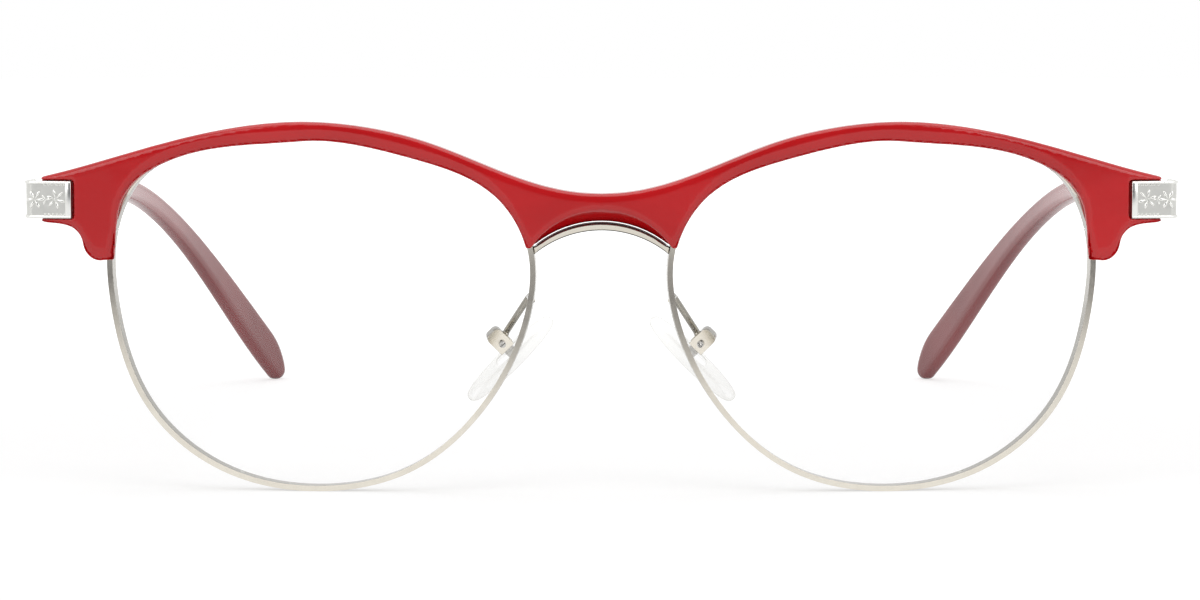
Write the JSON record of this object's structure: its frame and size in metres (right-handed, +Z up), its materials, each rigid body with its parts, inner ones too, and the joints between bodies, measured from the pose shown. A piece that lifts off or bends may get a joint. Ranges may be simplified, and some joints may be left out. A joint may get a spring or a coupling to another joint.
{
  "type": "browline glasses",
  "caption": "Browline spectacles with a red plastic brow over thin metal rims, clear lenses, adjustable nose pads and folding temples.",
  "frame": {"origin": "midway between the two sides and between the brow's front and the temple tips, on the table that the rims and tips stand on", "axes": "+X to the wearer's left, -Y out of the front, +Z up"},
  "size_m": [0.142, 0.1376, 0.0453],
  "materials": {
    "brow_plastic": "glossy red plastic",
    "temple_plastic": "glossy red plastic",
    "champagne_metal": "polished pale metal",
    "silver_plate": "embossed silver",
    "steel": "satin",
    "lens": "clear",
    "clear_silicone": "clear silicone"
  },
  "bodies": {
    "front_frame": {"brow_bar": "brow_plastic", "bridge_bar": "champagne_metal", "left_lens": "lens", "left_eyewire": "champagne_metal", "left_rim_lock_upper": "champagne_metal", "left_rim_lock_lower": "champagne_metal", "left_rim_lock_screw": "steel", "left_brow_lug": "champagne_metal", "left_brow_screw": "steel", "left_end_piece": "silver_plate", "left_end_rivets": "steel", "left_front_hinge": "steel", "left_hinge_screw": "steel", "left_pad_box": "champagne_metal", "left_pad_screw": "steel", "left_pad_arm": "champagne_metal", "right_lens": "lens", "right_eyewire": "champagne_metal", "right_rim_lock_upper": "champagne_metal", "right_rim_lock_lower": "champagne_metal", "right_rim_lock_screw": "steel", "right_brow_lug": "champagne_metal", "right_brow_screw": "steel", "right_end_piece": "silver_plate", "right_end_rivets": "steel", "right_front_hinge": "steel", "right_hinge_screw": "steel", "right_pad_box": "champagne_metal", "right_pad_screw": "steel", "right_pad_arm": "champagne_metal"},
    "left_temple_arm": {"left_temple": "temple_plastic", "left_temple_core": "steel", "left_temple_hinge": "steel", "left_temple_rivets": "steel"},
    "left_pad": {"left_nose_pad": "clear_silicone", "left_pad_lug": "steel"},
    "right_temple_arm": {"right_temple": "temple_plastic", "right_temple_core": "steel", "right_temple_hinge": "steel", "right_temple_rivets": "steel"},
    "right_pad": {"right_nose_pad": "clear_silicone", "right_pad_lug": "steel"}
  },
  "joints": [
    {"name": "left_temple_fold", "type": "hinge", "parent": "front_frame", "child": "left_temple_arm", "pos_m": [0.06723, -0.05594, 0.03565], "axis": [0, 0, 1], "range_deg": [0, 84]},
    {"name": "right_temple_fold", "type": "hinge", "parent": "front_frame", "child": "right_temple_arm", "pos_m": [-0.06723, -0.05594, 0.03565], "axis": [0, 0, -1], "range_deg": [0, 77]},
    {"name": "left_pad_rock", "type": "hinge", "parent": "front_frame", "child": "left_pad", "pos_m": [0.01251, -0.05729, 0.01753], "axis": [0.1457, 0.9781, 0.1483], "range_deg": [-8, 8]},
    {"name": "right_pad_rock", "type": "hinge", "parent": "front_frame", "child": "right_pad", "pos_m": [-0.01251, -0.05729, 0.01753], "axis": [0.1457, -0.9781, -0.1483], "range_deg": [-8, 8]}
  ]
}
